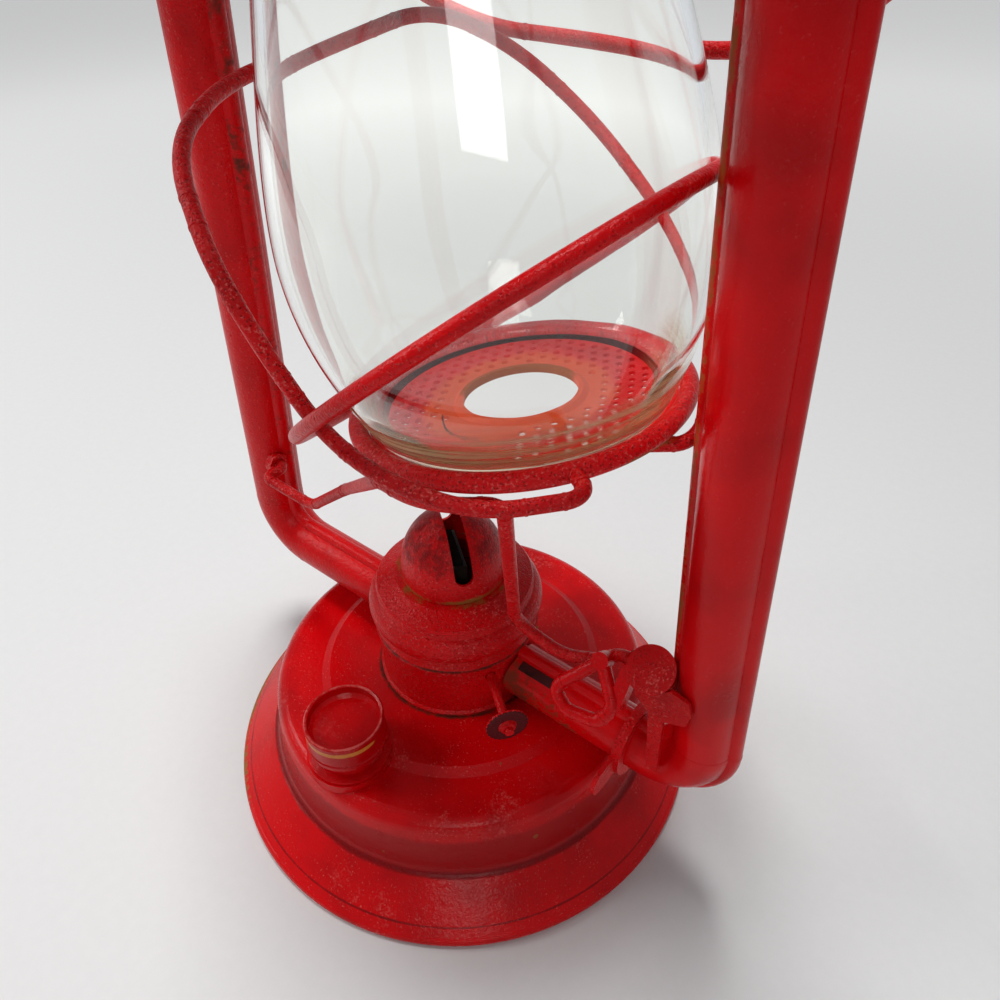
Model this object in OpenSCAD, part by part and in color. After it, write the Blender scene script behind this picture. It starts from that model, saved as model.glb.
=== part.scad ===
// Tubular kerosene lantern with a lifting, swinging globe carriage.
// Origin: centre of the base rim on the table. +Z up, side tubes along X, wick knob towards -Y.

/* [Fount] */
// Radius of the base rim
base_r = 82.5; // [79:0.5:88]
// Radius of the rolled rim bead
rim_bead_r = 2; // [1.5:0.1:3]
// Radius where the sloping flange meets the wall
flange_in_r = 66.5; // [65.5:0.5:70]
// Height of that crease
flange_h = 14; // [10:0.5:20]
// Radius at the top of the wall
wall_top_r = 64.5; // [63:0.5:65.5]
// Height of the fount's shoulder
fount_h = 37.5; // [33:0.5:40]
// Rounding of the shoulder
shoulder_r = 5; // [3:0.5:8]
// Radius of the raised plateau
plateau_r = 47; // [40:0.5:49]
// Rise of the plateau
plateau_rise = 2.2; // [1:0.1:4]
// Sheet metal thickness
sheet = 0.9; // [0.6:0.1:1.4]
// Height of the bottom plate above the table
bottom_z = 4; // [3:0.5:7]

/* [Filler] */
// Distance of the filler from the axis
filler_dist = 51; // [48:0.5:52]
// Direction of the filler
filler_angle = -92; // [-100:1:-85]
// Radius of the filler neck
neck_r = 10.6; // [9:0.1:11.5]
// Height of the filler neck above its pad
neck_h = 10.5; // [8:0.5:14]
// Wall of the filler cap
cap_wall = 1.1; // [0.8:0.1:1.6]
// Height of the filler cap
cap_h = 11; // [9:0.5:14]
// Depth of the hollow in the cap's top
cap_recess = 4.6; // [3:0.1:6]

/* [Burner] */
// Radius of the burner's lower drum
burner_r = 26.5; // [25:0.5:27.5]
// Height of the lower drum
burner_h = 22; // [20:0.5:24]
// Largest radius of the bulged band
band_r = 28.4; // [28:0.1:30]
// Height of the bulged band
band_h = 19; // [17:0.5:21]
// Radius of the shoulder rim
shoulder_rim_r = 25; // [23:0.5:26.5]
// Radius of the dome
dome_r = 16.7; // [15.5:0.1:17.5]
// Height of the dome
dome_h = 22.5; // [20:0.5:25]
// Width of the wick slot
slot_w = 5.6; // [5.4:0.2:7]
// Direction of the slot and of the wick knob's shaft
wick_angle = -36; // [-40:1:-32]
// Width of the wick
wick_w = 15; // [12:0.5:17]
// Thickness of the wick
wick_t = 2.4; // [2:0.1:3]
// Distance of the knob's disc from the axis
knob_dist = 44.5; // [41:0.5:47]
// Radius of the knob's disc
knob_r = 6.5; // [5:0.5:8]
// Radius of the wick shaft
shaft_r = 1.4; // [1:0.1:1.8]
// Radius of the spur wheels that grip the wick
spur_r = 2.7; // [2.5:0.1:3]

/* [Side tubes] */
// Radius of the side tubes
tube_r = 8.6; // [7.5:0.1:9]
// Radius of the seam beads along the tubes
bead_r = 2.6; // [2:0.1:3]
// Height of the arms that enter the burner
arm_z = 51; // [50.6:0.2:53]
// Bend radius at the foot of a side tube
elbow_r = 16; // [14:0.5:18]
// Distance of the tube from the axis at the foot
tube_x = 89.8; // [89:0.1:92]
// Inward lean of the right tube
lean = 4; // [3.5:0.1:4.2]
// Inward lean of the left tube, which is bent in a little further
left_lean = 5.5; // [5:0.1:5.6]
// Height of the arch above the globe's swing pivot
headroom = 24.1; // [22:0.1:32]
// Bend radius of the right tube's arch
arch_r = 46; // [40:1:50]
// Bend radius of the left tube's arch
left_arch_r = 38; // [34:1:39]

/* [Canopy] */
// Radius of the bell's mouth
bell_mouth_r = 52; // [50:0.5:55]
// Radius of the bell's shoulder
bell_top_r = 42; // [41:0.5:45]
// Height of the bell
bell_h = 64; // [60:0.5:68]
// Radius of the crown box that joins the tubes
crown_r = 25; // [22:0.5:28]
// Height of the crown box's dome
crown_dome_h = 9; // [6:0.5:12]
// Radius of the bail wire
bail_wire_r = 2; // [1.6:0.1:2.4]
// Reach of the bail from its pivots
bail_reach = 104; // [100:1:112]
// Hanging angle of the bail, from straight down
bail_hang = 40; // [38:1:46]

/* [Globe] */
// Radius of the globe's base
globe_base_r = 36.5; // [35:0.1:36.8]
// Largest radius of the globe
belly_r = 47.4; // [46:0.1:47.6]
// Height of the largest radius
belly_h = 40; // [36:0.5:44]
// Height of the globe
globe_h = 163; // [160:0.5:164]
// Radius of the globe's top
globe_top_r = 27.5; // [26:0.5:28.5]
// Thickness of the glass
glass = 2.2; // [1.6:0.1:3]

/* [Globe carriage] */
// Height of the globe plate when the globe is seated
seat_z = 100.5; // [100:0.1:102]
// Lift of the globe carriage
lift = 52.4; // [51.5:0.1:53]
// Height of the swing pivot above the globe's top
pivot_gap = 2; // [1.5:0.1:3]
// Swing of the lifted globe
swing = 9.24; // [8.8:0.01:9.4]
// Radius of the carriage ring
ring_r = 40; // [39.5:0.1:41]
// Radius of the ring's bead
ring_bead_r = 2.3; // [2:0.1:2.6]
// Radius of the hole in the plate
plate_hole_r = 14.2; // [14:0.1:15]
// Radius of a vent hole in the plate
vent_r = 1; // [0.7:0.1:1.2]
// Radius of the guard wires
guard_wire_r = 1.7; // [1.4:0.1:1.8]
// Radius of the plain guard hoop
hoop_r = 55.3; // [54.9:0.1:55.5]
// Tilt of the plain guard hoop
hoop_tilt = 30.8; // [30.6:0.1:31.5]
// Height of the plain hoop's centre above the plate
hoop_h = 22.6; // [22:0.1:23]
// Offset of the plain hoop towards the right tube
hoop_right = 1.7; // [1.5:0.1:1.8]
// Offset of the plain hoop towards the front
hoop_front = 1.5; // [1:0.1:2]
// Closest approach of the hooked guard wire to the globe's axis
hook_r = 49.6; // [49.3:0.1:49.9]

/* [Lift crank] */
// Radius of the crank wire
crank_wire_r = 1.8; // [1.5:0.1:1.9]
// Distance of the crank's axis in front of the tubes
crank_y = 5; // [4.5:0.1:5.5]
// Height of the crank's axis
crank_z = 90; // [89.5:0.1:91]
// Outer radius of the crank's bushes
bush_r = 3.8; // [3.6:0.1:4]

/* [Clearances] */
// Gap between pieces that are fixed together
fit = 0.1; // [0.05:0.01:0.15]
// Gap between pieces that move
run = 0.4; // [0.3:0.05:0.5]
// Radial gap of a shaft in its bush
bush_gap = 0.3; // [0.25:0.05:0.4]

/* [Hidden] */
$fn = 96;

paint = "#c8161a";
dark_paint = "#9c1216";
glass_tint = [0.85, 0.92, 0.88, 0.35];
brass = "#b08d3c";
cotton = "#e8dfc8";

fount_top = fount_h + plateau_rise;
neck_pad_r = neck_r + 3;
neck_pad_z = fount_top + 0.3;
neck_top = neck_pad_z + neck_h;
cap_r = neck_r + run + cap_wall;
cap_bottom = neck_top + 0.2 + cap_recess + 1 - cap_h + 0.3;
cap_disc_z = neck_top + 0.8;
filler_at = filler_dist * [cos(filler_angle), sin(filler_angle)];

drum_top = fount_top + burner_h;
band_top = drum_top + band_h;
dome_z = band_top + fit;
shaft_z = drum_top - 5.4;
spur_y = wick_t / 2 + run + spur_r;

pivot_h = globe_h + pivot_gap;
pivot_z = seat_z + lift + pivot_h;
arch_z = pivot_z + headroom;

tube_half_width = tube_r - 0.4 + bead_r;

// Ends of a tube's straight run, for its lean
function foot_z(lean) = arm_z + elbow_r * (1 + sin(lean));
function arch_from(lean, arch_r) = arch_z - arch_r * (1 - sin(lean));
function run_length(lean, arch_r) = (arch_from(lean, arch_r) - foot_z(lean)) / cos(lean);

// Distance of a tube's centre line from the axis at a height of its straight run
function tube_at(lean, z) = tube_x - (z - foot_z(lean)) * tan(lean);

bell_top_z = arch_z - tube_half_width - 1.2;
bell_z = bell_top_z - bell_h;
crown_top = arch_z + tube_half_width + 1;
crown_floor = bell_top_z + fit;

retainer_z = pivot_z - (pivot_h - globe_h) + globe_top_r * sin(swing) + run;
retainer_r = globe_top_r + 5.5;

ear_z = arch_from(lean, arch_r);
ear_plate_r = 7.8;
ear_plate = 1.4;
function ear_plate_x(lean) = tube_at(lean, ear_z) + tube_half_width / cos(lean) + ear_plate_r * tan(lean) + fit;
function eye_x(lean) = ear_plate_x(lean) + ear_plate + 3.1;

// Points of an arc in a profile plane
function arc(centre, r, from, to, steps) =
    [for (i = [0 : steps]) centre + r * [cos(from + (to - from) * i / steps), sin(from + (to - from) * i / steps)]];

function reversed(list) = [for (i = [len(list) - 1 : -1 : 0]) list[i]];

function unit(v) = v / norm(v);
function place(p) = [p[0], p[1], p[2]];

// A straight bar of round wire between two points
module wire_bar(a, b, r) {
    along = b - a;
    translate(a)
        rotate([0, acos(along.z / norm(along)), atan2(along.y, along.x)])
            cylinder(h = norm(along), r = r);
}

// A short sleeve round the wire at one point
module wire_sleeve(at, way, r) {
    wire_bar(at - way * 0.3, at + way * 0.3, r * 1.06);
}

// Round wire along points [x, y, z, bend radius]: bars, true bends, and a thin brazed sleeve where they meet
module wire(points, r) {
    last = len(points) - 1;
    gap = 0.02;
    way = [for (i = [0 : last - 1]) unit(place(points[i + 1]) - place(points[i]))];
    turn = [for (i = [0 : last]) i == 0 || i == last ? 0 : acos(way[i - 1] * way[i])];
    cut = [for (i = [0 : last]) i == 0 || i == last ? 0 : points[i][3] * tan(turn[i] / 2)];
    for (i = [0 : last - 1]) {
        from = place(points[i]) + way[i] * (cut[i] + (i == 0 ? 0 : gap));
        to = place(points[i + 1]) - way[i] * (cut[i + 1] + (i == last - 1 ? 0 : gap));
        wire_bar(from, to, r);
        if (i > 0) wire_sleeve(place(points[i]) + way[i] * cut[i], way[i], r);
        if (i < last - 1) wire_sleeve(place(points[i + 1]) - way[i] * cut[i + 1], way[i], r);
    }
    for (i = [1 : last - 1]) {
        axis = unit(cross(way[i - 1], way[i]));
        inward = cross(axis, way[i - 1]);
        centre = place(points[i]) - way[i - 1] * cut[i] + points[i][3] * inward;
        multmatrix([
            [-inward.x, way[i - 1].x, axis.x, centre.x],
            [-inward.y, way[i - 1].y, axis.y, centre.y],
            [-inward.z, way[i - 1].z, axis.z, centre.z],
            [0, 0, 0, 1]
        ])
            rotate_extrude(angle = turn[i]) translate([points[i][3], 0]) circle(r, $fn = 48);
    }
}

// Gives each inner point the bend that takes up this share of its shorter neighbouring run
function eased(points, share) = let (
        last = len(points) - 1,
        run_to = [for (i = [0 : last - 1]) points[i + 1] - points[i]]
    ) [for (i = [0 : last]) i == 0 || i == last
        ? [points[i].x, points[i].y, points[i].z, 0]
        : let (
            turn = acos(unit(run_to[i - 1]) * unit(run_to[i])),
            bend = share * min(norm(run_to[i - 1]), norm(run_to[i])) / tan(turn / 2)
        ) [points[i].x, points[i].y, points[i].z, bend]];

// Moves what is modelled about the globe plate's centre to the lifted, swung carriage
module carried() {
    translate([0, 0, pivot_z]) rotate([0, -swing, 0]) translate([0, 0, -pivot_h]) children();
}

function carried_point(p) = [
    p.x * cos(swing) - (p.z - pivot_h) * sin(swing),
    p.y,
    p.x * sin(swing) + (p.z - pivot_h) * cos(swing) + pivot_z
];

// Fount
function fount_line(inset) = concat(
    [[base_r - 2 * rim_bead_r + 0.8 - inset / 4, 0]],
    [[base_r - rim_bead_r + 0.8 - inset, inset > 0 ? inset : 0]],
    arc([base_r - rim_bead_r, rim_bead_r], rim_bead_r - inset, -50, 70, 8),
    arc([flange_in_r + 4 - inset, flange_h + 4.6 - inset], 4, 245, 185, 6),
    arc([wall_top_r - shoulder_r, fount_h - shoulder_r], shoulder_r - inset, 0, 84, 8),
    [[plateau_r + 1.5 - inset / 2, fount_h + 0.3 - inset], [plateau_r - 1.5 - inset / 2, fount_top - inset],
     [burner_r - 6, fount_top - inset]]
);

module fount_shell() {
    color(paint)
        difference() {
            union() {
                rotate_extrude() polygon(concat(fount_line(0), reversed(fount_line(sheet))));
                translate([filler_at.x, filler_at.y, fount_h - sheet])
                    cylinder(h = neck_pad_z - fount_h + sheet, r = neck_pad_r);
            }
            translate([filler_at.x, filler_at.y, fount_h - 4 * sheet])
                cylinder(h = 20, r = neck_r + fit);
        }
}

// Radius of the flange's inner face at a height
function flange_inside(z) = let (
        foot = arc([base_r - rim_bead_r, rim_bead_r], rim_bead_r - sheet, 70, 70, 1)[0],
        crease = arc([flange_in_r + 4 - sheet, flange_h + 4.6 - sheet], 4, 245, 245, 1)[0]
    ) foot.x + (crease.x - foot.x) * (z - foot.y) / (crease.y - foot.y);

module fount_bottom() {
    step = 2;
    rim = flange_inside(bottom_z + sheet) - fit;
    color(dark_paint)
        rotate_extrude()
            polygon([[0, bottom_z + step], [rim - 12, bottom_z + step], [rim - 8, bottom_z], [rim, bottom_z],
                     [rim, bottom_z + sheet], [rim - 8, bottom_z + sheet], [rim - 12, bottom_z + step + sheet],
                     [0, bottom_z + step + sheet]]);
}

// Filler
module filler_neck() {
    color(dark_paint)
        translate([filler_at.x, filler_at.y, 0])
            rotate_extrude()
                polygon([[neck_r - 1.2, fount_h - 2], [neck_r, fount_h - 2], [neck_r, neck_pad_z + fit],
                         [neck_pad_r - 0.6, neck_pad_z + fit], [neck_pad_r - 0.6, neck_pad_z + 1.2],
                         [neck_r, neck_pad_z + 1.8], [neck_r, neck_top], [neck_r - 1.2, neck_top]]);
}

module filler_cap() {
    color(paint)
        translate([filler_at.x, filler_at.y, 0])
            rotate_extrude()
                polygon([[0, cap_disc_z], [cap_r - cap_wall, cap_disc_z], [cap_r - cap_wall, cap_bottom],
                         [cap_r - 0.3, cap_bottom], [cap_r, cap_bottom + 0.5], [cap_r, cap_bottom + 2],
                         [cap_r + 0.3, cap_bottom + 2.4], [cap_r, cap_bottom + 2.8],
                         [cap_r, cap_bottom + cap_h - 0.5], [cap_r - 0.4, cap_bottom + cap_h],
                         [cap_r - cap_wall, cap_bottom + cap_h - 0.4], [cap_r - cap_wall, cap_disc_z + 2.2],
                         [cap_r - cap_wall - 1.2, cap_disc_z + 1], [0, cap_disc_z + 1]]);
}

module cap_gasket() {
    color("#2b2622")
        translate([filler_at.x, filler_at.y, neck_top + 0.3])
            difference() {
                cylinder(h = cap_disc_z - neck_top - 0.3, r = neck_r);
                translate([0, 0, -1]) cylinder(h = 3, r = neck_r - 2);
            }
}

// Burner
module burner_drum() {
    color(paint)
        difference() {
            rotate_extrude()
                polygon([[burner_r - 1.2, fount_top + fit], [burner_r + 0.9, fount_top + fit],
                         [burner_r + 0.9, fount_top + 1], [burner_r, fount_top + 1.8],
                         [burner_r, drum_top - 1.6], [burner_r + 0.8, drum_top - 1.1],
                         [burner_r + 0.8, drum_top - 0.5], [burner_r, drum_top - fit], [burner_r - 1.2, drum_top - fit]]);
            rotate([0, 0, wick_angle])
                translate([burner_r - 5, spur_y, shaft_z])
                    rotate([0, 90, 0]) cylinder(h = 10, r = shaft_r + bush_gap);
        }
}

module burner_band() {
    color(paint)
        rotate_extrude()
            polygon(concat(
                [[burner_r - 2, drum_top], [burner_r + 0.4, drum_top]],
                arc([burner_r - 3.6, drum_top + band_h * 0.42], band_r - burner_r + 3.6, -62, 62, 10),
                [[shoulder_rim_r, band_top - 4.2], [shoulder_rim_r + 0.5, band_top - 3.4],
                 [shoulder_rim_r, band_top - 2.6], [dome_r + 2.2, band_top], [dome_r - 2, band_top],
                 [dome_r - 2, band_top - 1], [dome_r + 1.8, band_top - 1], [shoulder_rim_r - 1.6, band_top - 3.4],
                 [burner_r - 2, band_top - 7]]
            ));
}

// Outline of the dome: a short wall under a round crown
function dome_line(inset) = concat(
    [[dome_r - inset, 0], [dome_r - inset, 3]],
    [for (a = [6 : 6 : 84]) [(dome_r - inset) * cos(a), 3 + (dome_h - 3 - inset) * sin(a)]],
    [[0, dome_h - inset]]
);

module burner_dome() {
    slot_floor = 7;
    color(paint)
        translate([0, 0, dome_z])
            difference() {
                rotate_extrude() polygon(concat(dome_line(0), reversed(dome_line(sheet))));
                rotate([0, 0, wick_angle]) {
                    translate([-dome_r - 1, -slot_w / 2, slot_floor + slot_w / 2])
                        cube([2 * dome_r + 2, slot_w, dome_h]);
                    translate([-dome_r - 1, 0, slot_floor + slot_w / 2])
                        rotate([0, 90, 0]) cylinder(h = 2 * dome_r + 2, r = slot_w / 2);
                }
            }
}

module wick_tube() {
    outer_w = wick_w + 2.4;
    outer_t = wick_t + 2.4;
    tube_z = fount_top + 4;
    tube_top = dome_z + 8;
    color(brass)
        rotate([0, 0, wick_angle])
            difference() {
                union() {
                    translate([-outer_w / 2, -outer_t / 2, tube_z]) cube([outer_w, outer_t, tube_top - tube_z]);
                    translate([0, 0, tube_z]) cylinder(h = 1.2, r = burner_r - 1.2 - fit);
                }
                translate([-wick_w / 2 - run, -wick_t / 2 - run, tube_z - 1])
                    cube([wick_w + 2 * run, wick_t + 2 * run, tube_top - tube_z + 2]);
                translate([-wick_w / 2 - run, 0, shaft_z - spur_r - 1])
                    cube([wick_w + 2 * run, outer_t, 2 * (spur_r + 1)]);
                for (side = [-1, 1])
                    translate([0, side * (burner_r - 8), tube_z - 1]) cylinder(h = 4, r = 3);
            }
}

module wick() {
    color(cotton)
        rotate([0, 0, wick_angle])
            translate([-wick_w / 2, -wick_t / 2, fount_top - 20])
                cube([wick_w, wick_t, dome_z + 9.5 - fount_top + 20]);
}

module wick_shaft() {
    color(paint)
        rotate([0, 0, wick_angle])
            translate([-wick_w / 2 + 1, spur_y, shaft_z])
                rotate([0, 90, 0])
                    cylinder(h = knob_dist + wick_w / 2 + 2.6, r = shaft_r);
}

module spur_wheels() {
    teeth = 10;
    color(brass)
        rotate([0, 0, wick_angle])
            for (at = [-wick_w / 4, wick_w / 4])
                translate([at - 0.8, spur_y, shaft_z])
                    rotate([0, 90, 0])
                        difference() {
                            union() {
                                cylinder(h = 1.6, r = spur_r - 0.6);
                                for (i = [0 : teeth - 1])
                                    rotate(360 / teeth * i) translate([0, -0.35, 0]) cube([spur_r, 0.7, 1.6]);
                            }
                            translate([0, 0, -1]) cylinder(h = 4, r = shaft_r + fit / 2);
                        }
}

module knob_disc() {
    notches = 24;
    color(dark_paint)
        rotate([0, 0, wick_angle])
            translate([knob_dist, spur_y, shaft_z])
                rotate([0, 90, 0])
                    difference() {
                        rotate_extrude()
                            polygon([[shaft_r + fit / 2, -0.8], [2.4, -0.8], [2.6, -0.2], [knob_r - 0.8, -0.2],
                                     [knob_r, 0.2], [knob_r, 1], [knob_r - 0.8, 1.2], [2.8, 1.2], [2.2, 2.2],
                                     [shaft_r + fit / 2, 2.4]]);
                        for (i = [0 : notches - 1])
                            rotate(360 / notches * i) translate([knob_r + 0.25, 0, -1]) cylinder(h = 3, r = 0.55, $fn = 24);
                    }
}

// Side tubes
module tube_section(grow) {
    circle(tube_r + grow);
    for (side = [-1, 1]) translate([side * (tube_r - 0.4), 0]) circle(bead_r + grow);
}

module tube_wall() {
    difference() {
        tube_section(0);
        circle(tube_r - sheet);
    }
}

// The thin brazed ring where a bend meets the straight run
module tube_joint() {
    linear_extrude(1)
        difference() {
            tube_section(0.05);
            circle(tube_r - sheet - 0.05);
        }
}

// One side tube, drawn in the upright plane through the burner
module side_tube(lean, arch_r) {
    elbow_x = tube_x - elbow_r * cos(lean);
    length = run_length(lean, arch_r);
    arch_x = tube_x - length * sin(lean) - arch_r * cos(lean);
    rotate([90, 0, 0]) {
        translate([burner_r - 4, arm_z, 0])
            rotate([90, 0, 90]) linear_extrude(elbow_x - burner_r + 3.8) tube_wall();
        translate([elbow_x - 0.5, arm_z, 0]) rotate([90, 0, 90]) tube_joint();
        translate([elbow_x, arm_z + elbow_r, 0])
            rotate([0, 0, -90]) rotate_extrude(angle = 90 + lean) translate([elbow_r, 0]) tube_wall();
        translate([tube_x, foot_z(lean), 0])
            rotate([0, 0, lean]) rotate([-90, 0, 0]) {
                translate([0, 0, 0.1]) linear_extrude(length - 0.2) tube_wall();
                translate([0, 0, -0.5]) tube_joint();
                translate([0, 0, length - 0.5]) tube_joint();
            }
        translate([arch_x, arch_z - arch_r, 0])
            rotate([0, 0, lean]) rotate_extrude(angle = 90 - lean) translate([arch_r, 0]) tube_wall();
        translate([crown_r - 4, arch_z, 0])
            rotate([90, 0, 90]) linear_extrude(arch_x - crown_r + 3.8) tube_wall();
        translate([arch_x - 0.5, arch_z, 0]) rotate([90, 0, 90]) tube_joint();
    }
}

module fitted_tube(lean, arch_r) {
    difference() {
        side_tube(lean, arch_r);
        translate([0, 0, arm_z - 20]) cylinder(h = 40, r = burner_r + 1);
        translate([0, 0, arch_z - 20]) cylinder(h = 40, r = crown_r + fit);
    }
}

module left_tube() {
    color(paint)
        difference() {
            mirror([1, 0, 0]) fitted_tube(left_lean, left_arch_r);
            translate([-crank_left - 1.1 - fit, -crank_y, crank_z])
                rotate([0, 90, 0]) cylinder(h = 12, r = bush_r + fit);
        }
}

module right_tube() {
    color(paint) fitted_tube(lean, arch_r);
}

strap_x = 68;

module arm_strap() {
    strap_w = 3;
    color(paint) {
        difference() {
            union() {
                translate([strap_x, 0, arm_z]) rotate([0, 90, 0]) cylinder(h = strap_w, r = tube_half_width + 1.2);
                translate([strap_x, -tube_r - 10, arm_z - 6]) cube([strap_w - 1.6, 11, 9]);
                translate([strap_x, -tube_r - 9, arm_z - 1.5])
                    rotate([0, 90, 0]) cylinder(h = strap_w - 1.6, r = 4.5);
            }
            translate([strap_x - 1, 0, arm_z]) rotate([0, 90, 0]) linear_extrude(strap_w + 2) tube_section(fit);
        }
    }
}

// Crank bearings
bracket_y = tube_r + fit + 1.2;

module lever_bracket() {
    bush_x = 71.4;
    bush_l = 6.4;
    ear_r = 6.6;
    plate = 1.2;
    stem_foot = arm_z + 4.5;
    color(paint)
        difference() {
            union() {
                translate([bush_x, -crank_y, crank_z]) rotate([0, 90, 0]) cylinder(h = bush_l, r = bush_r);
                translate([bush_x + 3, -crank_y, crank_z])
                    rotate([35, 0, 0]) translate([0, 0, bush_r - 0.3]) cylinder(h = plate + 0.1, r = ear_r);
                translate([0, -bracket_y + plate, 0])
                    rotate([90, 0, 0])
                        linear_extrude(plate)
                            polygon([[bush_x + 0.4, crank_z - 1], [bush_x + 0.6, crank_z - 6],
                                     [bush_x + 5, crank_z - 10], [bush_x + 7.2, stem_foot],
                                     [bush_x + 10.4, stem_foot + 1.5], [bush_x + 9.6, crank_z - 10.6],
                                     [bush_x + 15.6, crank_z - 7.5], [bush_x + 16.6, crank_z - 2.5],
                                     [bush_x + 15.4, crank_z + 1.5], [bush_x + 10, crank_z + 2.5],
                                     [bush_x + 6.4, crank_z - 1]]);
                translate([bush_x + 0.3, -bracket_y + plate / 2, crank_z - 3])
                    cube([bush_l - 0.6, bracket_y - crank_y, 4.6]);
            }
            translate([bush_x - 1, -crank_y, crank_z])
                rotate([0, 90, 0]) cylinder(h = bush_l + 2, r = crank_wire_r + bush_gap);
        }
}

crank_left = tube_at(left_lean, crank_z) - 8.3;
crank_right = 78;

module crank_eye() {
    color(paint)
        translate([-crank_left - 1.1, -crank_y, crank_z])
            rotate([0, 90, 0])
                difference() {
                    cylinder(h = 3, r = bush_r);
                    translate([0, 0, 0.8]) cylinder(h = 6, r = crank_wire_r + bush_gap);
                }
}

// Canopy
function bell_line(inset) = concat(
    [[bell_mouth_r - inset, bell_z], [bell_mouth_r - inset, bell_z + 3]],
    [for (t = [0.12 : 0.11 : 1])
        [bell_mouth_r - inset - (bell_mouth_r - bell_top_r) * (1 - pow(1 - t, 2)), bell_z + 3 + (bell_h - 13) * t]],
    arc([bell_top_r - 10, bell_top_z - 10], 10 - inset, 0, 90, 8)
);

module bell_canopy() {
    vents = 16;
    color(paint)
        difference() {
            rotate_extrude()
                polygon(concat(bell_line(0), [[0, bell_top_z], [0, bell_top_z - sheet]], reversed(bell_line(sheet))));
            for (i = [0 : vents - 1])
                rotate(360 / vents * (i + 0.5))
                    translate([bell_top_r - 8, 0, bell_top_z - 14])
                        rotate([0, 90, 0]) cylinder(h = 16, r = 3);
            translate([0, 0, bell_top_z - 4]) cylinder(h = 8, r = crown_r - 6);
        }
}

module crown_box() {
    color(paint)
        difference() {
            rotate_extrude()
                polygon(concat(
                    [[crown_r - 5, crown_floor], [crown_r + 2, crown_floor], [crown_r + 2, crown_floor + 1],
                     [crown_r, crown_floor + 1], [crown_r, crown_top]],
                    [for (a = [10 : 10 : 80]) [crown_r * cos(a), crown_top + crown_dome_h * sin(a)]],
                    [[4.5, crown_top + crown_dome_h], [4.5, crown_top + crown_dome_h + 2.5],
                     [3, crown_top + crown_dome_h + 4.5], [0, crown_top + crown_dome_h + 5],
                     [0, crown_top + crown_dome_h - sheet]],
                    [for (a = [80 : -10 : 10]) [(crown_r - sheet) * cos(a), crown_top + (crown_dome_h - sheet) * sin(a)]],
                    [[crown_r - sheet, crown_top], [crown_r - sheet, crown_floor + 1], [crown_r - 5, crown_floor + 1]]
                ));
            for (side = [-1, 1])
                translate([0, 0, arch_z])
                    rotate([0, side * 90, 0]) cylinder(h = crown_r + 5, r = tube_r - sheet);
        }
}

eye_wall = 2.4;
pin_r = 2.2;
eye_bore_r = pin_r + bush_gap;

module bail_ear(lean) {
    lug_r = 1.2;
    lug_at = 5.6;
    lug_off = bail_wire_r + lug_r + bush_gap;
    plate_x = ear_plate_x(lean);
    translate([plate_x, 0, ear_z]) rotate([0, 90, 0]) cylinder(h = ear_plate, r = ear_plate_r);
    translate([plate_x, 0, ear_z]) rotate([0, 90, 0]) cylinder(h = 8, r = pin_r);
    translate([plate_x + 7.2, 0, ear_z]) rotate([0, 90, 0]) cylinder(h = 1.3, r = 4.2);
    translate([plate_x, lug_at * sin(bail_hang) - lug_off * cos(bail_hang),
               ear_z - lug_at * cos(bail_hang) - lug_off * sin(bail_hang)])
        rotate([0, 90, 0]) cylinder(h = 6, r = lug_r);
}

module bail_ears() {
    color(paint) {
        bail_ear(lean);
        mirror([1, 0, 0]) bail_ear(left_lean);
    }
}

// Bail, drawn hanging straight down and swung back against its stop
module bail() {
    corner = 62;
    left_x = -eye_x(left_lean);
    right_x = eye_x(lean);
    color(dark_paint)
        translate([0, 0, ear_z])
            rotate([bail_hang, 0, 0])
                difference() {
                    union() {
                        for (x = [left_x, right_x])
                            translate([x - bail_wire_r, 0, 0])
                                rotate([0, 90, 0]) cylinder(h = 2 * bail_wire_r, r = eye_bore_r + eye_wall);
                        wire([
                            [left_x, 0, -eye_bore_r - 1, 0], [left_x, 0, -bail_reach, corner],
                            [right_x, 0, -bail_reach, corner], [right_x, 0, -eye_bore_r - 1, 0]
                        ], bail_wire_r - 0.05);
                    }
                    for (x = [left_x, right_x])
                        translate([x - 5, 0, 0]) rotate([0, 90, 0]) cylinder(h = 10, r = eye_bore_r);
                }
}

// Sliding cap over the globe's top, and the rails that guide it inside the bell
module globe_retainer() {
    vents = 8;
    skirt = 9;
    color(dark_paint)
        difference() {
            translate([0, 0, retainer_z])
                rotate_extrude()
                    polygon([[0, 0], [retainer_r - 1, 0], [retainer_r - 1, -skirt], [retainer_r, -skirt],
                             [retainer_r, 1], [4, 1], [4, 3], [0, 3]]);
            for (i = [0 : vents - 1])
                rotate(360 / vents * i) translate([16, 0, retainer_z - 2]) cylinder(h = 6, r = 4.5);
        }
}

module guide_rails() {
    rail_w = 5;
    rail_in = retainer_r + run;
    rail_top = bell_top_z - sheet - fit;
    color(dark_paint) {
        translate([0, 0, rail_top - 1])
            difference() {
                cylinder(h = 1, r = 31);
                translate([0, 0, -1]) cylinder(h = 3, r = 26);
            }
        for (a = [105, 180, 255])
            rotate([0, 0, a]) {
                translate([28, -rail_w / 2, rail_top - 2]) cube([rail_in + 1 - 28, rail_w, 1.5]);
                translate([rail_in, -rail_w / 2, bell_z - 5]) cube([1, rail_w, rail_top - bell_z + 3.6]);
            }
    }
}

// Globe and its carriage
function globe_radius(h) = h < belly_h
    ? belly_r - (belly_r - globe_base_r) * pow((belly_h - h) / belly_h, 2)
    : let (s = pow((h - belly_h) / (globe_h - 6 - belly_h), 0.83))
        globe_top_r + (belly_r - globe_top_r) * (1 + cos(180 * min(1, s))) / 2;

function globe_line(inset) = [for (i = [0 : 26]) let (h = fit + (globe_h - fit) * i / 26) [globe_radius(h) - inset, h]];

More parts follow.
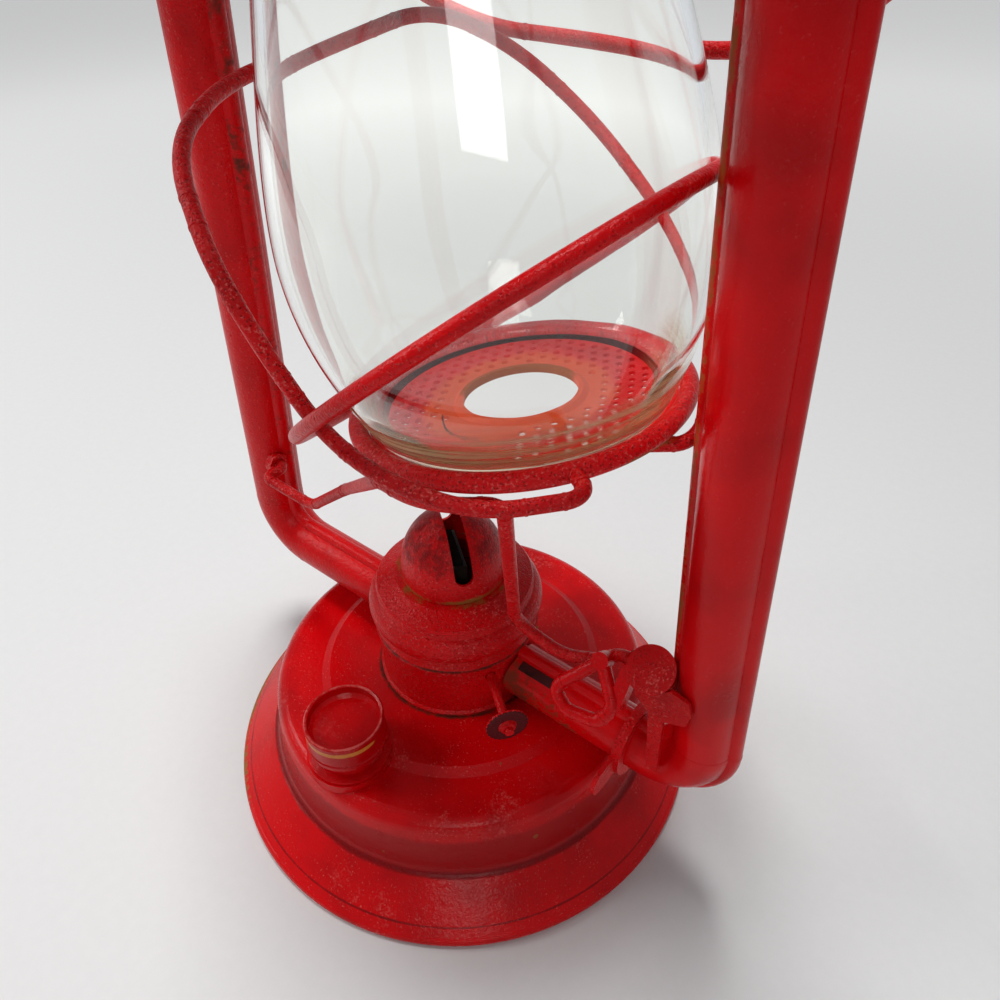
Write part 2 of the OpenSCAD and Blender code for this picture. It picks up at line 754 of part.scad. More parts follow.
module globe() {
    color(glass_tint)
        carried() rotate_extrude() polygon(concat(globe_line(0), reversed(globe_line(glass))));
}

vent_pitch = 3.9;
vent_in = plate_hole_r + 4.2;
vent_out = globe_base_r - glass - 1.6;
smooth_from = 248;
smooth_to = 302;

function is_smooth(p) = let (a = atan2(p.y, p.x), turn = a < 0 ? a + 360 : a) turn > smooth_from && turn < smooth_to;

module globe_plate() {
    plate_r = ring_r - ring_bead_r - fit;
    span = ceil(vent_out / vent_pitch);
    color(paint)
        carried()
            difference() {
                rotate_extrude()
                    polygon([[plate_hole_r, -sheet], [plate_r, -sheet], [plate_r, 0], [plate_hole_r + 2.5, 0],
                             [plate_hole_r + 1.2, 1], [plate_hole_r, 1]]);
                for (i = [-span : span], j = [-span : span]) {
                    p = vent_pitch * [i + 0.5 * (j % 2), j * 0.866];
                    if (norm(p) > vent_in && norm(p) < vent_out && !is_smooth(p))
                        translate([p.x, p.y, -2]) cylinder(h = 4, r = vent_r, $fn = 24);
                }
            }
}

notch_angle = -37;

module carriage_ring() {
    color(paint)
        carried()
            difference() {
                rotate_extrude() translate([ring_r, 0]) circle(ring_bead_r);
                rotate([0, 0, notch_angle])
                    translate([ring_r - 0.5, 0, 0]) rotate([0, 90, 0]) cylinder(h = 5, r = guard_wire_r + fit);
            }
}

hoop_at = [hoop_right, -hoop_front, hoop_h];

module plain_hoop() {
    color(paint)
        carried()
            translate(hoop_at) rotate([0, -hoop_tilt, 0])
                rotate_extrude() translate([hoop_r, 0]) circle(guard_wire_r, $fn = 48);
}

// Hand bends of the hooked guard: direction, distance outside its closest approach, height above the plate
hook_bends = [
    [-62, 2.4, 0.6], [-84, 2.4, 7], [-101, 2.6, 14], [-106, 7.4, 33], [-110, 10.2, 49], [-130, 10.4, 66],
    [-158, 7.4, 74], [-188, 5, 76.5], [-220, 4.6, 81], [-242, 3.4, 69], [-264, 1.4, 51], [-288, 0, 31],
    [-310, 0.4, 14.5], [-332, -0.6, 6]
];

function hook_point(bend) = let (out = hook_r + bend[1]) [out * cos(bend[0]), out * sin(bend[0]), bend[2]];

module hooked_guard() {
    notch = [cos(notch_angle), sin(notch_angle)];
    under_ring = -ring_bead_r - guard_wire_r;
    color(paint)
        carried()
            wire(eased(concat(
                [[(ring_r - 0.4) * notch.x, (ring_r - 0.4) * notch.y, 0], [(hook_r + 1) * notch.x, (hook_r + 1) * notch.y, 0]],
                [for (bend = hook_bends) hook_point(bend)],
                [[ring_r + 5.5, 9, 4], [ring_r + 4.5, 4, under_ring - 1.5], [ring_r - 4, -3, under_ring - fit]]
            ), 0.46), guard_wire_r);
}

module hoop_links() {
    pin_r = 1.1;
    color(dark_paint)
        carried()
            for (a = [146, 168]) {
                joint = hoop_at + hoop_r * [cos(a) * cos(hoop_tilt), sin(a), cos(a) * sin(hoop_tilt)];
                out = unit([joint.x, joint.y]);
                ring_at = [ring_r * out.x, ring_r * out.y, 0];
                along = unit(joint - ring_at);
                wire_bar(ring_at + along * (ring_bead_r + fit), joint - along * (guard_wire_r + 2 * fit), pin_r);
            }
}

// Lift crank, at the raised end of its turn
module lift_crank() {
    bar_h = -ring_bead_r - crank_wire_r - run + 0.2;
    bar_r = ring_r + 1.5;
    bar_left = carried_point([bar_r * cos(-103), bar_r * sin(-103), bar_h]);
    bar_right = carried_point([bar_r * cos(-58), bar_r * sin(-58), bar_h]);
    bar_mid = carried_point([(bar_r + 3) * cos(-80), (bar_r + 3) * sin(-80), bar_h]);
    color(paint)
        wire([
            [-crank_left, -crank_y, crank_z, 0],
            [-73.4, -crank_y, crank_z, 2.4],
            [-77, -crank_y - 8, crank_z, 2.4],
            [-54.5, -crank_y - 5.5, crank_z - 4, 9],
            [-30, -crank_y - 9, crank_z + 17, 14],
            [bar_left.x, bar_left.y, bar_left.z, 4],
            [bar_mid.x, bar_mid.y, bar_mid.z, 30],
            [bar_right.x, bar_right.y, bar_right.z, 4],
            [31, -crank_y - 3.5, crank_z - 6, 9],
            [47, -crank_y - 2, crank_z - 11, 14],
            [57, -crank_y - 0.5, crank_z - 7, 12],
            [64.5, -crank_y, crank_z, 5],
            [crank_right, -crank_y, crank_z, 0]
        ], crank_wire_r);
}

// Closed loop that hangs in front of the crank wire, on a flat tab with an eye round the wire
module thumb_loop() {
    loop_wire_r = 1.9;
    stand_off = 3.0;
    tab_x = 67;
    tab_w = 3.8;
    lean_out = 37.7;
    apex = [61.2, 3.2];
    color(paint)
        translate([0, -crank_y, crank_z])
            rotate([-lean_out, 0, 0])
                difference() {
                    union() {
                        translate([0, -stand_off, 0]) {
                            wire([
                                [apex.x, 0, -apex.y, 0], [69, 0, -13.2, 4], [66.5, 0, -18.6, 3.5], [57, 0, -20.4, 5],
                                [51.2, 0, -16.6, 3], [apex.x, 0, -apex.y, 0]
                            ], loop_wire_r);
                            translate([apex.x, 0, -apex.y])
                                rotate([90, 0, 0]) cylinder(h = 2 * loop_wire_r + 0.8, r = loop_wire_r + 0.6, center = true);
                        }
                        translate([tab_x, -stand_off - 0.8, -13]) cube([tab_w, stand_off + 1.6, 12]);
                        translate([tab_x, 0, 0]) rotate([0, 90, 0]) cylinder(h = tab_w, r = crank_wire_r + 1.2);
                    }
                    translate([tab_x - 1, 0, 0])
                        rotate([0, 90, 0]) cylinder(h = tab_w + 2, r = crank_wire_r + fit);
                }
}

fount_shell();
fount_bottom();
filler_neck();
filler_cap();
cap_gasket();
burner_drum();
burner_band();
burner_dome();
wick_tube();
wick();
wick_shaft();
spur_wheels();
knob_disc();
left_tube();
right_tube();
arm_strap();
lever_bracket();
crank_eye();
bell_canopy();
crown_box();
bail_ears();
bail();
globe_retainer();
guide_rails();
globe();
globe_plate();
carriage_ring();
plain_hoop();
hooked_guard();
hoop_links();
lift_crank();
thumb_loop();
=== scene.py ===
"""Looks of a red tubular lantern whose glass globe is lifted on its wire crank."""

import math

import bpy
from mathutils import Matrix, Vector


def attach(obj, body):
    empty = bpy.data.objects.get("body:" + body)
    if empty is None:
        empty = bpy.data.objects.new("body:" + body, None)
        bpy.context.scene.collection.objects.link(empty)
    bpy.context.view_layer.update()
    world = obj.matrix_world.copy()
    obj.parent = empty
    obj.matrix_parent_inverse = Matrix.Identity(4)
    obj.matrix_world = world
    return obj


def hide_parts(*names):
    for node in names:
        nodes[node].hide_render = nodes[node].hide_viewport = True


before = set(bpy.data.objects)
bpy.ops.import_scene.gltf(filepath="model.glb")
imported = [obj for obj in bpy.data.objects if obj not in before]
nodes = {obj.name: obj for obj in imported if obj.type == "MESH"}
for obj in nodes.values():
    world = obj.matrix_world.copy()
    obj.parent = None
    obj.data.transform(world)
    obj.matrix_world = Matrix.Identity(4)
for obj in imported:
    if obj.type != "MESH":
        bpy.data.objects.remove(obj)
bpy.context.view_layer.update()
bpy.ops.object.select_all(action="DESELECT")

# Places and sizes shared with the solids, in metres
PIVOT_Z = 0.3179
PIVOT_HEIGHT = 0.165
SWING = math.radians(9.24)
GLOBE_HEIGHT = 0.163
GLOBE_FOOT = 0.0001
FOOT_R = 0.0365
BELLY_R = 0.0474
BELLY_HEIGHT = 0.040
TOP_R = 0.0275
LIP_HEIGHT = 0.006
TAPER = 0.83
GLASS = 0.0022
FOOT_GLASS = 0.0036
THICK_FOOT_HEIGHT = 0.016
RIPPLE_TOP = 0.014
RIPPLE_FADE = 0.006
RIPPLE_SIZE = 0.016
RIPPLE_DEPTH = 0.0026
GLOBE_SIDES = 128
GLOBE_STEPS = 56
TUBE_X = 0.0898
TUBE_FOOT_Z = 0.0682
RIGHT_LEAN = math.radians(4)
LEFT_LEAN = math.radians(5.5)
SHAFT_WAY = (0.80901699, -0.58778525)
SHAFT_Z = 0.0563
SHAFT_ASIDE = 0.0043
FILLER_AT = (-0.00178, -0.05097)

# Colours of the finishes
RED = (0.66, 0.001, 0.003, 1)
DEEP_RED = (0.36, 0.0005, 0.002, 1)
SHADED_RED = (0.20, 0.001, 0.002, 1)
# Pink of dust, also used for a painted sheen and painted highlights
PINK_DUST_AND_SHEEN = (0.72, 0.125, 0.110, 1)
ORANGE_RED = (0.68, 0.085, 0.022, 1)
ORANGE = (0.62, 0.22, 0.035, 1)
OLIVE = (0.27, 0.12, 0.022, 1)
ARM_DIRT = (0.19, 0.034, 0.014, 1)
RUST = (0.30, 0.075, 0.012, 1)
DARK_RUST = (0.070, 0.020, 0.010, 1)
MAROON = (0.045, 0.004, 0.006, 1)
# Near black of soot, also used for painted shade in the slot beside the arm
SOOT_AND_SHADE = (0.010, 0.008, 0.008, 1)


class Value:
    """A node's output that takes part in Python arithmetic."""

    def __init__(self, finish, socket):
        self.finish = finish
        self.socket = socket

    def math(self, operation, first, second):
        return self.finish.node("ShaderNodeMath", {"operation": operation}, {0: first, 1: second})

    def __add__(self, other):
        return self.math("ADD", self, other)

    __radd__ = __add__

    def __sub__(self, other):
        return self.math("SUBTRACT", self, other)

    def __rsub__(self, other):
        return self.math("SUBTRACT", other, self)

    def __mul__(self, other):
        return self.math("MULTIPLY", self, other)

    __rmul__ = __mul__

    def __pow__(self, other):
        return self.math("POWER", self, other)


class Finish:
    """One procedural material, or the world's light."""

    def __init__(self, name, world=None):
        self.owner = world or bpy.data.materials.new(name)
        self.owner.use_nodes = True
        self.tree = self.owner.node_tree
        self.tree.nodes.clear()

    def node(self, kind, settings=None, inputs=None, out=0):
        made = self.tree.nodes.new(kind)
        for key, setting in (settings or {}).items():
            if key == "stops":
                ramp = made.color_ramp
                for element, (place, colour) in zip(ramp.elements, setting):
                    element.position = place
                    element.color = colour
                for place, colour in setting[2:]:
                    ramp.elements.new(place).color = colour
            else:
                setattr(made, key, setting)
        for key, value in (inputs or {}).items():
            if isinstance(value, Value):
                self.tree.links.new(value.socket, made.inputs[key])
            else:
                made.inputs[key].default_value = value
        return Value(self, made.outputs[out]) if made.outputs else None

    def place(self, offset=(0, 0, 0), turn=(0, 0, 0), scale=(1, 1, 1)):
        coordinates = self.node("ShaderNodeTexCoord", out="Object")
        return self.node(
            "ShaderNodeMapping",
            {"vector_type": "POINT"},
            {"Vector": coordinates, "Location": offset, "Rotation": turn, "Scale": scale},
        )

    def carried_place(self):
        """Coordinates about the globe plate's centre, along the swung globe's own axis."""
        drop = Matrix.Rotation(SWING, 3, "Y") @ Vector((0, 0, -PIVOT_Z)) + Vector((0, 0, PIVOT_HEIGHT))
        return self.place(drop, (0, SWING, 0))

    def axes(self, vector):
        split = self.node("ShaderNodeSeparateXYZ", None, {0: vector}).socket.node
        return [Value(self, split.outputs[i]) for i in range(3)]

    def noise(self, vector, scale, detail=2.0, roughness=0.5):
        return self.node(
            "ShaderNodeTexNoise",
            {"noise_dimensions": "3D"},
            {"Vector": vector, "Scale": scale, "Detail": detail, "Roughness": roughness},
        )

    def cells(self, vector, scale):
        inputs = {"Vector": vector, "Scale": scale}
        return self.node("ShaderNodeTexVoronoi", {"feature": "F1"}, inputs, out="Distance")

    def step(self, value, low, high):
        return self.node(
            "ShaderNodeMapRange",
            {"interpolation_type": "SMOOTHSTEP", "clamp": True},
            {"Value": value, "From Min": low, "From Max": high, "To Min": 0.0, "To Max": 1.0},
        )

    def band(self, value, centre, half_width):
        return self.step(value, centre - half_width, centre) * self.step(value, centre + half_width, centre)

    def seen(self):
        """One for the rays by which the ground behind the lantern shows."""
        rays = ("Is Camera Ray", "Is Glossy Ray", "Is Transmission Ray")
        return sum(self.node("ShaderNodeLightPath", out=ray) for ray in rays)

    def radius(self, x, y):
        return (x * x + y * y) ** 0.5

    def mix(self, factor, first, second):
        return self.node("ShaderNodeMix", {"data_type": "RGBA"}, {0: factor, 6: first, 7: second}, out=2)

    def bump(self, height, strength, distance):
        inputs = {"Height": height, "Strength": strength, "Distance": distance}
        return self.node("ShaderNodeBump", None, inputs)

    def surface(self, inputs):
        shader = self.node("ShaderNodeBsdfPrincipled", None, inputs)
        self.node("ShaderNodeOutputMaterial", None, {"Surface": shader})
        return self.owner


def red_enamel(name, grit=0.5, dust_and_sheen=0.5, marks=None, gloss=0.28):
    """Brushed-on red enamel: uneven film, gritty grain, pink dust with a painted sheen, painted glints on
    the grain, painted shade in its pits, and the marks of wear and dirt and of painted shade and highlights.
    """
    finish = Finish(name)
    place = finish.place()
    x, y, z = finish.axes(place)
    clouds = finish.noise(place, 30, 3, 0.55)
    patches = finish.noise(place, 75, 5, 0.62)
    peel = finish.noise(place, 480, 3, 0.6)
    grains = finish.noise(place, 1350, 2, 0.6)
    pits = finish.cells(place, 1150)

    colour = finish.mix(finish.step(clouds, 0.44, 0.72) * 0.75, RED, DEEP_RED)
    # Pink patches: dust, with a painted sheen of light on the grain
    dusty_sheen_patches = finish.step(patches + (clouds - 0.5) * 0.5, 0.56, 0.80)
    grainy_dusty_sheen = dusty_sheen_patches * finish.step(grains + (peel - 0.5) * 0.6, 0.46, 0.66)
    colour = finish.mix(grainy_dusty_sheen * (0.60 * dust_and_sheen), colour, PINK_DUST_AND_SHEEN)
    # Painted highlights: pink glints on the tips of the grain
    painted_glints = finish.step(grains, 0.65 - 0.09 * grit, 0.74 - 0.06 * grit) * finish.step(patches, 0.36, 0.56)
    colour = finish.mix(painted_glints * (0.75 * dust_and_sheen), colour, PINK_DUST_AND_SHEEN)
    # Painted shade: the pits of the grain are coloured darker red, and are also pushed in by the bump
    shaded_pits = finish.step(pits, 0.36, 0.14) * (0.62 * grit)
    colour = finish.mix(shaded_pits, colour, SHADED_RED)

    roughness = gloss + dusty_sheen_patches * (0.30 * dust_and_sheen) + (peel - 0.5) * 0.16
    height = peel * (0.5 + 0.5 * grit) + grains * (0.8 * grit) - shaded_pits * 0.7
    for mask, tint, dull, ragged in marks(finish, x, y, z) if marks else ():
        ragged_mask = finish.step(mask + ((patches - 0.5) * 1.1 + (peel - 0.5) * 0.7) * ragged, 0.38, 0.68)
        colour = finish.mix(ragged_mask * 0.92, colour, tint)
        roughness = roughness + ragged_mask * dull
    return finish.surface({
        "Base Color": colour,
        "Roughness": roughness,
        "Specular IOR Level": 0.16,
        "Normal": finish.bump(height, 0.28 + 0.45 * grit, 0.0006),
    })


def clear_glass():
    """Old blown glass: clear, faintly smoked, with tan streaks drawn round its thick foot."""
    finish = Finish("clear_globe_glass")
    place = finish.carried_place()
    x, y, h = finish.axes(place)
    drawn_out = finish.node("ShaderNodeVectorMath", {"operation": "MULTIPLY"}, {0: place, 1: (14, 14, 900)})
    streaks = finish.noise(drawn_out, 1.0, 4, 0.65)
    smears = finish.noise(place, 38, 3, 0.55)
    front = finish.step(x * 0.69 - y * 0.72, -0.012, 0.012)
    foot = finish.step(h, 0.0150, 0.006) * finish.step(smears, 0.26, 0.46) * front
    drawn = foot * finish.step(streaks, 0.40, 0.60)
    waves = finish.noise(place, 24, 2, 0.5)
    normal = finish.bump(waves + streaks * foot * 0.5, 0.04, 0.002)
    glass = finish.node("ShaderNodeBsdfPrincipled", None, {
        "Base Color": finish.mix(foot * 0.7, (0.965, 0.975, 0.955, 1), (0.80, 0.68, 0.44, 1)),
        "Roughness": 0.015 + drawn * 0.15,
        "IOR": 1.46,
        "Transmission Weight": 1.0,
        "Normal": normal,
    })
    residue = finish.node("ShaderNodeBsdfPrincipled", None, {
        "Base Color": finish.mix(streaks, (0.30, 0.13, 0.045, 1), (0.72, 0.56, 0.32, 1)),
        "Roughness": 0.55,
        "Specular IOR Level": 0.3,
    })
    mixed = finish.node("ShaderNodeMixShader", None, {0: drawn * 0.62, 1: glass, 2: residue})
    finish.node("ShaderNodeOutputMaterial", None, {"Surface": mixed})
    return finish.owner


def brass_finish():
    finish = Finish("dull_brass")
    place = finish.place()
    x, y, z = finish.axes(place)
    stain = finish.noise(place, 240, 4, 0.6)
    sooty = finish.step(z, 0.068, 0.076)
    colour = finish.mix(finish.step(stain, 0.4, 0.7), (0.36, 0.23, 0.07, 1), (0.05, 0.035, 0.02, 1))
    colour = finish.mix(sooty * 0.95, colour, SOOT_AND_SHADE)
    dullness = 0.35 + stain * 0.3
    return finish.surface({"Base Color": colour, "Metallic": 0.9 - sooty * 0.9, "Roughness": dullness})


def wick_cotton():
    finish = Finish("charred_cotton")
    place = finish.place(turn=(0, 0, math.radians(36)))
    x, y, z = finish.axes(place)
    weave = finish.node("ShaderNodeTexWave", {"wave_type": "BANDS", "bands_direction": "X"},
                        {"Vector": place, "Scale": 260.0, "Distortion": 1.5, "Detail": 2.0}, out=1)
    char = finish.step(z, 0.066, 0.072)
    colour = finish.mix(weave * 0.5, (0.62, 0.55, 0.40, 1), (0.40, 0.33, 0.22, 1))
    colour = finish.mix(char, colour, (0.012, 0.010, 0.009, 1))
    normal = finish.bump(weave, 0.5, 0.0004)
    dull = {"Roughness": 0.95, "Specular IOR Level": 0.1}
    return finish.surface({"Base Color": colour, "Normal": normal, **dull})


def cork():
    finish = Finish("dark_cork")
    grain = finish.noise(finish.place(), 700, 4, 0.7)
    colour = finish.mix(grain, (0.05, 0.03, 0.02, 1), (0.17, 0.10, 0.05, 1))
    normal = finish.bump(grain, 0.5, 0.0004)
    return finish.surface({"Base Color": colour, "Roughness": 0.85, "Normal": normal})


# Marks where the enamel is worn or dirty, and marks of painted shade and highlights, in metres: mask,
# colour, dullness and raggedness
def sparse_chips(finish):
    place = finish.place()
    spots = finish.step(finish.cells(place, 55), 0.070, 0.030)
    return spots * finish.step(finish.noise(place, 21, 1, 0.5), 0.55, 0.60)


def tank_marks(finish, x, y, z):
    out = finish.radius(x, y)
    rim = finish.step(out, 0.0796, 0.0812) * finish.step(x, -0.005, -0.055) * finish.step(y, 0.03, -0.03)
    # Painted shade: a thin dark line in the groove just inside the rolled rim
    painted_groove_shade = finish.band(out, 0.0790, 0.0008) * 0.62
    upright = finish.step(out, 0.0625, 0.0640) * finish.step(out, 0.0690, 0.0675)
    # Painted shade: the tank's upright wall is coloured deeper red, fading out towards the shoulder
    wall = upright * finish.step(z, 0.0350, 0.0270) * 0.72
    # Painted shade: a dark line where the wall meets the flange, as a contact shadow
    painted_crease_shade = finish.band(out, 0.0678, 0.0028) * finish.step(z, 0.0210, 0.0150) * 0.70
    foot = finish.step(out, 0.0305, 0.0275) * finish.step(z, 0.0375, 0.0390) * 0.62
    return [(wall, DEEP_RED, 0.0, 0.3), (painted_crease_shade, SHADED_RED, 0.1, 0.3), (painted_groove_shade, SHADED_RED, 0.1, 0.35),
            (rim * 0.60, OLIVE, 0.3, 1.0),
            (foot, DARK_RUST, 0.2, 0.7), (sparse_chips(finish), RUST, 0.3, 0.5)]


def filler_marks(finish, x, y, z):
    out = finish.radius(x - FILLER_AT[0], y - FILLER_AT[1])
    front = finish.step(y, -0.047, -0.053)
    ring = finish.band(z, 0.0538, 0.0017) * finish.step(out, 0.0112, 0.0120) * front
    # Painted highlight: the top of the cap, above the lip, is coloured pale pink
    lip = finish.step(z, 0.0559, 0.0565) * 0.55
    foot = finish.step(z, 0.0420, 0.0395) * 0.5
    return [(foot, DARK_RUST, 0.3, 0.7), (lip, PINK_DUST_AND_SHEEN, 0.1, 0.8), (ring, ORANGE, 0.05, 0.35)]


def burner_marks(finish, x, y, z):
    out = finish.radius(x, y)
    crown = finish.band(z, 0.0815, 0.0026) * finish.step(out, 0.0212, 0.0178) * 0.58
    seam = finish.band(z, 0.0616, 0.0012) * 0.60
    foot = finish.step(z, 0.0425, 0.0400) * 0.55
    smoked = finish.step(z, 0.0800, 0.0960) * finish.step(out, 0.0200, 0.0160) * 0.58
    return [(smoked, SHADED_RED, 0.1, 0.8), (crown, OLIVE, 0.3, 0.9), (seam, DARK_RUST, 0.2, 0.7),
            (foot, DARK_RUST, 0.3, 0.7),
            (sparse_chips(finish) * 0.8, DARK_RUST, 0.2, 0.2)]


def plate_marks(finish, x, y, z):
    across, along, height = finish.axes(finish.carried_place())
    out = finish.radius(across, along)
    worn = finish.step(out, 0.0340, 0.0175) * 0.76
    back = finish.step(out, 0.0168, 0.0146) * finish.step(along - across, -0.004, 0.012) * 0.85
    arc = finish.band(finish.radius(across - 0.002, along + 0.004), 0.0181, 0.0004)
    dent = arc * finish.step(along, -0.0150, -0.0170) * finish.step(across, 0.008, 0.005)
    return [(worn, ORANGE_RED, 0.15, 0.45), (back, RUST, 0.25, 0.5), (dent, DARK_RUST, 0.2, 0.0)]


def upright_run(finish, z):
    return finish.step(z, 0.074, 0.084) * finish.step(z, 0.290, 0.270)


def right_tube_marks(finish, x, y, z):
    inner = x - TUBE_X + (z - TUBE_FOOT_Z) * math.tan(RIGHT_LEAN)
    seam = finish.step(inner, -0.0080, -0.0092) * upright_run(finish, z) * 0.50
    arm = finish.step(x, 0.080, 0.032) * finish.step(z, 0.070, 0.056)
    dirt = arm * finish.step(y, 0.008, -0.006) * 0.54
    # Painted shade: a near-black patch stands for the dark inside the slot beside the arm
    painted_slot_shade = (finish.step(x, 0.0296, 0.0300) * finish.step(x, 0.0432, 0.0428) * finish.step(z, 0.054, 0.0545)
            * finish.step(y, -0.0056, -0.0052) * finish.step(y, -0.0026, -0.0030))
    return [(seam, RUST, 0.3, 0.8), (dirt, ARM_DIRT, 0.3, 1.2), (painted_slot_shade * 2.0, SOOT_AND_SHADE, 0.4, 0.0)]


def left_tube_marks(finish, x, y, z):
    inner = -1 * x - TUBE_X + (z - TUBE_FOOT_Z) * math.tan(LEFT_LEAN)
    seam = finish.step(inner, -0.0078, -0.0092) * upright_run(finish, z) * 0.42
    return [(seam, DARK_RUST, 0.3, 0.9)]


def bracket_marks(finish, x, y, z):
    foot = finish.step(z, 0.050, 0.042) * 0.45
    return [(sparse_chips(finish) * 0.9, DARK_RUST, 0.3, 0.3), (foot, RUST, 0.3, 0.8)]


def ring_marks(finish, x, y, z):
    across, along, height = finish.axes(finish.carried_place())
    patches = finish.step(finish.noise(finish.place(), 45, 2, 0.5), 0.46, 0.60)
    under = finish.step(height, 0.0005, -0.0015) * patches
    return [(under * 0.62, OLIVE, 0.3, 0.8)]


def knob_marks(finish, x, y, z):
    along = x * SHAFT_WAY[0] + y * SHAFT_WAY[1]
    aside = finish.radius(y * SHAFT_WAY[0] - x * SHAFT_WAY[1] - SHAFT_ASIDE, z - SHAFT_Z)
    ring = finish.step(aside, 0.0027, 0.0030) * finish.step(aside, 0.0078, 0.0072)
    return [(finish.step(along, 0.0451, 0.0454) * ring * 1.2, MAROON, 0.15, 0.15)]


def dress(finish, *names):
    for name in names:
        mesh = nodes[name].data
        mesh.materials.clear()
        mesh.materials.append(finish)


dress(red_enamel("tank_enamel", 0.25, 0.8, tank_marks, 0.18), "fount_shell", "fount_bottom")
dress(red_enamel("filler_enamel", 0.20, 0.5, filler_marks, 0.22), "filler_cap", "filler_neck")
dress(red_enamel("burner_enamel", 0.75, 0.9, burner_marks, 0.30),
      "burner_drum", "burner_band", "burner_dome")
dress(red_enamel("right_tube_enamel", 0.12, 0.18, right_tube_marks, 0.22), "right_tube")
dress(red_enamel("left_tube_enamel", 0.5, 0.5, left_tube_marks, 0.30), "left_tube")
dress(red_enamel("canopy_enamel", 0.3, 0.5, None, 0.26),
      "bell_canopy", "crown_box", "globe_retainer", "guide_rails")
dress(red_enamel("plate_enamel", 0.3, 0.7, plate_marks, 0.34), "globe_plate")
dress(red_enamel("ring_enamel", 1.0, 1.0, ring_marks, 0.36), "carriage_ring", "hooked_guard", "hoop_links")
dress(red_enamel("wire_enamel", 1.0, 1.0, None, 0.36), "lift_crank", "bail", "bail_ears")
dress(red_enamel("hoop_enamel", 0.6, 0.6, None, 0.30), "plain_hoop")
dress(red_enamel("loop_enamel", 0.45, 0.45, None, 0.28), "thumb_loop")
dress(red_enamel("bracket_enamel", 0.8, 0.9, bracket_marks, 0.32), "lever_bracket", "arm_strap", "crank_eye")
dress(red_enamel("knob_enamel", 0.6, 0.9, knob_marks, 0.34), "wick_shaft", "knob_disc")
dress(brass_finish(), "wick_tube", "spur_wheels")
dress(wick_cotton(), "wick")
dress(cork(), "cap_gasket")


# The globe, spun up from its foot, over the lip and down the inside to a thicker, wavy foot
def globe_radius(height):
    if height < BELLY_HEIGHT:
        return BELLY_R - (BELLY_R - FOOT_R) * ((BELLY_HEIGHT - height) / BELLY_HEIGHT) ** 2
    along = min(1, ((height - BELLY_HEIGHT) / (GLOBE_HEIGHT - LIP_HEIGHT - BELLY_HEIGHT)) ** TAPER)
    return TOP_R + (BELLY_R - TOP_R) * (1 + math.cos(math.pi * along)) / 2


def wall(height):
    return GLASS + (FOOT_GLASS - GLASS) * max(0, 1 - height / THICK_FOOT_HEIGHT) ** 2


def globe_rings():
    rise = GLOBE_HEIGHT - GLOBE_FOOT
    heights = [GLOBE_FOOT + rise * i / GLOBE_STEPS for i in range(GLOBE_STEPS + 1)]
    outside = [(globe_radius(h), h) for h in heights]
    lip = [(outside[-1][0] - GLASS / 2, GLOBE_HEIGHT + 0.0003)]
    inside = [(globe_radius(h) - wall(h), h) for h in reversed(heights)]
    return outside + lip + inside + [outside[0]]


def blown_globe():
    rings = globe_rings()
    bpy.ops.object.select_all(action="DESELECT")
    start = (0, 0, rings[0][1])
    bpy.ops.mesh.primitive_circle_add(
        vertices=GLOBE_SIDES, radius=rings[0][0], fill_type="NOTHING", location=start)
    globe = bpy.context.object
    globe.name = "blown_globe"
    bpy.ops.object.transform_apply(location=True, rotation=True, scale=True)
    bpy.ops.object.mode_set(mode="EDIT")
    bpy.ops.mesh.select_all(action="SELECT")
    for (radius, height), (next_radius, next_height) in zip(rings, rings[1:]):
        bpy.ops.mesh.extrude_region_move(TRANSFORM_OT_translate={"value": (0, 0, next_height - height)})
        ratio = next_radius / radius
        bpy.ops.transform.resize(value=(ratio, ratio, 1), center_override=(0, 0, next_height))
    bpy.ops.mesh.select_all(action="SELECT")
    bpy.ops.mesh.remove_doubles(threshold=0.00002)
    bpy.ops.mesh.normals_make_consistent(inside=False)
    bpy.ops.object.mode_set(mode="OBJECT")
    wavy_foot(globe)
    globe.matrix_world = (Matrix.Translation((0, 0, PIVOT_Z)) @ Matrix.Rotation(-SWING, 4, "Y")
                          @ Matrix.Translation((0, 0, -PIVOT_HEIGHT)))
    bpy.ops.object.transform_apply(location=True, rotation=True, scale=True)
    bpy.ops.object.shade_smooth()
    globe.data.materials.append(clear_glass())
    globe.visible_shadow = False
    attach(globe, "carriage")
    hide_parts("globe")


def wavy_foot(globe):
    """Pushes the inside of the foot in and out a little, as blown glass runs."""
    group = globe.vertex_groups.new(name="inner_foot")
    for vertex in globe.data.vertices:
        x, y, height = vertex.co
        depth = globe_radius(height) - math.hypot(x, y)
        if depth > 0.0012 and height > 0.0008:
            share = max(0, min(1, (RIPPLE_TOP - height) / RIPPLE_FADE))
            group.add([vertex.index], share, "REPLACE")
    ripple = bpy.data.textures.new("foot_ripple", type="CLOUDS")
    ripple.noise_scale = RIPPLE_SIZE
    ripple.noise_depth = 1
    push = globe.modifiers.new("foot_ripple", "DISPLACE")
    push.texture = ripple
    push.texture_coords = "LOCAL"
    push.vertex_group = group.name
    push.mid_level = 0.5
    push.strength = RIPPLE_DEPTH
    bpy.ops.object.modifier_apply(modifier=push.name)
    globe.vertex_groups.clear()


blown_globe()


# Floor, light and camera
CAMERA_PLACE = (0.1251, -0.1305, 0.2549)
CAMERA_ROUND = math.radians(39)
CAMERA_DOWN = math.radians(39.18)
CAMERA_TILT = math.radians(-1.15)
CAMERA_LENS = 28.08


